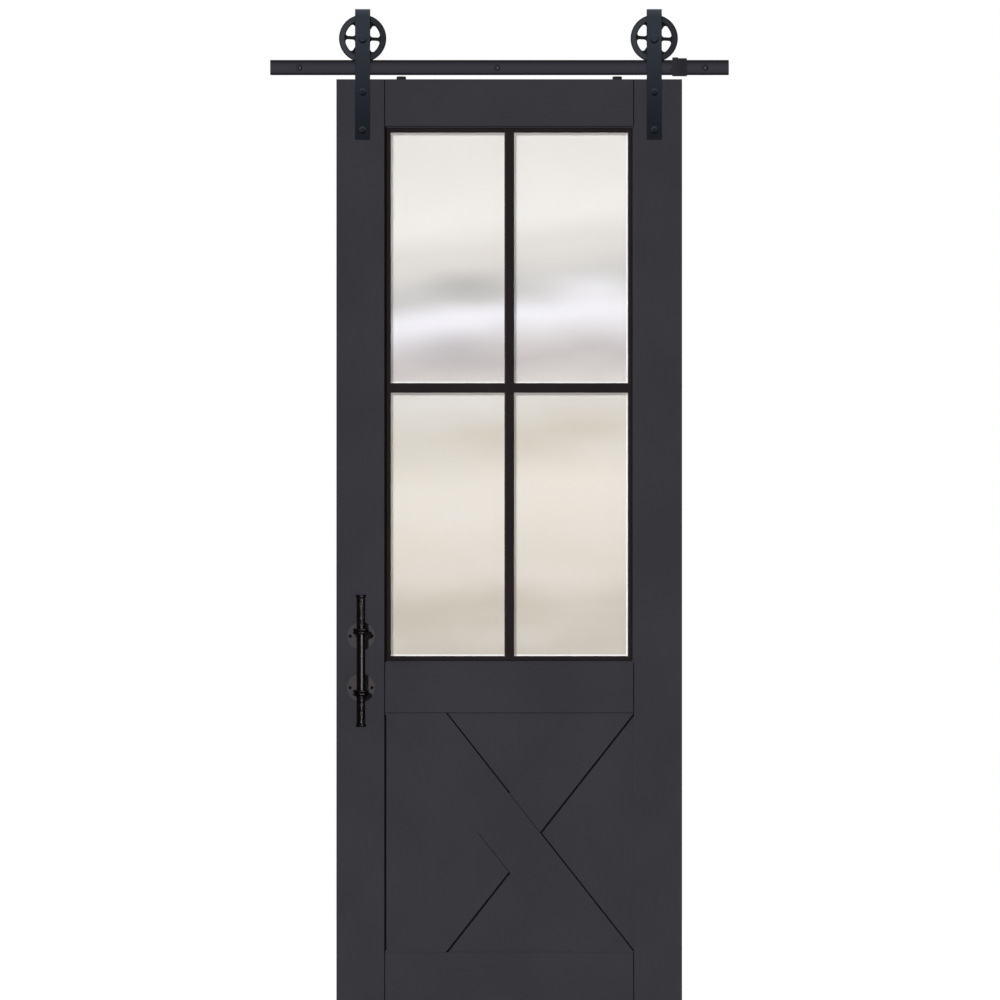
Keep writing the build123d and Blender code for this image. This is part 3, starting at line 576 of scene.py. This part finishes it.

# The track and the hardware
# The rail's coat has painted shade towards its upper and lower edges
dress(track_paint_and_shade("powder coat, track", track_coat, track_low, track_high), "track_rail")
dress(powder_coat("powder coat, spacers", track_coat), "spacer_left", "spacer_middle", "spacer_right")
# Painted shade darkens the stop clamp's edges
dress(powder_coat("powder coat, stop", shade(track_coat, stop_share), edge_painted_shade=0.8), "stop_clamp")
# The straps and axle heads carry painted sheen and shade
strap_black = forged_coat_and_shade("blue-black straps, painted sheen and shade", strap_low_shade, strap_high_sheen, strap_low, strap_high)
dress(strap_black, "strap_left", "strap_right", "axle_left", "axle_right")
bolt_black = bolt_metal("black oxide bolts", bolt_coat, worn_edge, specular=0.16)
dress(bolt_black, "lag_bolts", "stop_set_screws", "washers", "cap_nuts", "axle_nuts", "guide_disc_screws")
# The hanger bolts' dark edge tone is a painted shade outline
dress(bolt_metal("hanger bolts", dome_coat, iron_black, specular=0.05), "hanger_bolts")
dress(bolt_metal("handle screws", iron_black, iron_black, specular=0.05), "handle_screws")
for side in ("left", "right"):
    axle = axle_of(f"wheel_{side}")
    wheel_low, wheel_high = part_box(f"wheel_{side}")
    reach = (wheel_high.x - wheel_low.x) / 2
    dress(wheel_paint_and_shade(f"turned wheel with painted shade, {side}", wheel_coat, axle, reach), f"wheel_{side}")
    bright = turned_metal(
        f"ground bearing steel, {side}", ground_steel, axle, bearing_pitch, roughness=0.28, metallic=1.0
    )
    dress(bright, f"bearing_inner_ring_{side}", f"bearing_outer_ring_{side}", f"axle_sleeves_{side}")
    disc_axis = axle_of(f"guide_disc_{side}")
    disc_metal = turned_metal(f"turned disc, {side}", bolt_coat, disc_axis, disc_pitch, roughness=0.4)
    dress(disc_metal, f"guide_disc_{side}")

# The handle
dress(drawn_pipe("black drawn pipe", pipe_black), "handle_pipe")
fitting_iron = hammered_iron("hammered black iron", iron_black)
plate_iron = raw_iron("raw iron plates", flange_iron, flange_rust)
for end in ("upper", "lower"):
    dress(fitting_iron, f"handle_nipple_{end}", f"handle_bracket_{end}")
    dress(plate_iron, f"handle_flange_{end}")


# Floor and world

def daylight(tree, cast, seen):
    """How bright a thing is seen, directly or in a mirror or glass, and what it casts on paint."""
    path = tree.nodes.new("ShaderNodeLightPath")
    direct = tree.nodes.new("ShaderNodeMath")
    direct.operation = "ADD"
    tree.links.new(path.outputs["Is Camera Ray"], direct.inputs[0])
    tree.links.new(path.outputs["Is Glossy Ray"], direct.inputs[1])
    through = tree.nodes.new("ShaderNodeMath")
    through.operation = "ADD"
    through.use_clamp = True
    tree.links.new(direct.outputs[0], through.inputs[0])
    tree.links.new(path.outputs["Is Transmission Ray"], through.inputs[1])
    chosen = tree.nodes.new("ShaderNodeMapRange")
    chosen.inputs["To Min"].default_value = cast
    chosen.inputs["To Max"].default_value = seen
    tree.links.new(through.outputs[0], chosen.inputs["Value"])
    return chosen.outputs["Result"]


floor_mesh = bpy.data.meshes.new("floor")
ring = bmesh.new()
bmesh.ops.create_circle(ring, cap_ends=True, segments=floor_sides, radius=floor_radius)
ring.to_mesh(floor_mesh)
ring.free()
floor = bpy.data.objects.new("floor", floor_mesh)
floor.location = (0, 0, loaded_low.z - floor_gap)
bpy.context.scene.collection.objects.link(floor)
floor_look = bpy.data.materials.new("pale floor")
floor_look.use_nodes = True
floor_shader = floor_look.node_tree.nodes["Principled BSDF"]
floor_shader.inputs["Base Color"].default_value = (*floor_pale, 1)
floor_shader.inputs["Roughness"].default_value = 0.9
floor_shader.inputs["Specular IOR Level"].default_value = 0.1
floor_shader.inputs["Emission Color"].default_value = (1, 1, 1, 1)
floor_light = daylight(floor_look.node_tree, cast=0.0, seen=floor_glow)
floor_look.node_tree.links.new(floor_light, floor_shader.inputs["Emission Strength"])
floor_mesh.materials.append(floor_look)

world = bpy.data.worlds.new("white studio")
world.use_nodes = True
bpy.context.scene.world = world
background = world.node_tree.nodes["Background"]
background.inputs["Color"].default_value = (1, 1, 1, 1)
world_light = daylight(world.node_tree, cast=studio_level, seen=1.0)
world.node_tree.links.new(world_light, background.inputs["Strength"])


# Lamps

def hang(lamp, in_gloss, on_paint):
    """Links a lamp and says which rays find it."""
    placed = bpy.data.objects.new(lamp.name, lamp)
    placed.rotation_mode = "QUATERNION"
    placed.visible_glossy = in_gloss
    placed.visible_diffuse = on_paint
    bpy.context.scene.collection.objects.link(placed)
    return placed


def sun(name, toward, strength, spread, lit=None, casting=None):
    """A far soft lamp that shines along a direction, on a group of nodes if one is given."""
    lamp = bpy.data.lights.new(name, "SUN")
    lamp.energy = strength
    lamp.angle = radians(spread)
    placed = hang(lamp, in_gloss=False, on_paint=True)
    placed.rotation_quaternion = Vector(toward).to_track_quat("-Z", "Y")
    placed.light_linking.receiver_collection = lit
    placed.light_linking.blocker_collection = casting


def card(name, azimuth, elevation, width, height, radiance, lit):
    """A glowing card that only shows as a highlight, turned to the middle of the leaf."""
    lamp = bpy.data.lights.new(name, "AREA")
    lamp.shape = "RECTANGLE"
    lamp.size = width
    lamp.size_y = height
    lamp.energy = radiance * pi * width * height
    placed = hang(lamp, in_gloss=True, on_paint=False)
    placed.light_linking.receiver_collection = lit
    side, rise = radians(azimuth), radians(elevation)
    away = Vector((sin(side) * cos(rise), -cos(side) * cos(rise), sin(rise)))
    placed.location = Vector((0, door_front_y, card_height)) + card_distance * away
    placed.rotation_quaternion = (-away).to_track_quat("-Z", "Y")


def group(name, names, state):
    """A collection of CAD nodes that a lamp takes in or leaves out."""
    made = bpy.data.collections.new(name)
    for node in names:
        made.objects.link(nodes[node])
    for entry in made.collection_objects:
        entry.light_linking.link_state = state
    return made


handle_names = [name for name in nodes if name.startswith("handle_")]
iron_names = [name for name in handle_names if "flange" not in name and "screw" not in name]
hanger_names = [f"{kind}_{side}" for kind in ("strap", "axle", "wheel") for side in ("left", "right")]
hanger_names.append("hanger_bolts")
stop_names = ["stop_clamp", "stop_buffer"]
glass_names = ["glass_pane"]
no_hardware = group("casts no hard shadow", handle_names + hanger_names + stop_names, "EXCLUDE")
handle = group("lit for the handle", handle_names, "INCLUDE")
iron = group("shows the iron cards", iron_names, "INCLUDE")
lags = group("shows the lag bolt card", ["lag_bolts"], "INCLUDE")
bars = group("shows the bevel cards", ["window_bars_front", "window_bars_back"], "INCLUDE")
hangers = group("lit from above", hanger_names, "INCLUDE")
glazing = group("lit for the glass", glass_names, "INCLUDE")
others = group("lit from the left", hanger_names + handle_names + glass_names, "EXCLUDE")

sun("key, from the left", (0.62, 1.0, -0.16), strength=3.85, spread=2, lit=others, casting=no_hardware)
sun("hanger key, from above", (0.2, 0.8, -0.95), strength=5.3, spread=2, lit=hangers)
sun("handle key", (0.2, 1.0, -0.25), strength=3.7, spread=2, lit=handle)
sun("glass key, from the upper left", (0.75, 1.0, -0.80), strength=3.0, spread=14, lit=glazing)
sun("glass fill", (0.0, 1.0, 0.0), strength=1.33, spread=2, lit=glazing)
sun("back light", (-0.5, -1.0, -0.5), strength=2.2, spread=20)
card("iron card, right", azimuth=19, elevation=0, width=2.0, height=4.2, radiance=210, lit=iron)
card("iron card, above", azimuth=8, elevation=50, width=2.0, height=1.2, radiance=280, lit=iron)
card("lag bolt card", azimuth=27, elevation=0, width=1.7, height=4.2, radiance=22, lit=lags)
card("bevel card, left", azimuth=-84, elevation=0, width=3.0, height=4.0, radiance=60, lit=bars)
card("bevel card, above", azimuth=0, elevation=86, width=3.0, height=3.0, radiance=12, lit=bars)

# Camera
camera_data = bpy.data.cameras.new("camera")
camera_data.lens = lens_length
camera_data.sensor_width = sensor_size
camera_data.clip_end = sight_limit
camera = bpy.data.objects.new("camera", camera_data)
camera.location = (camera_x, door_front_y - camera_distance, camera_z)
camera.rotation_euler = (pi / 2, 0, 0)
bpy.context.scene.collection.objects.link(camera)
bpy.context.scene.camera = camera
bpy.context.scene.view_settings.view_transform = "Standard"
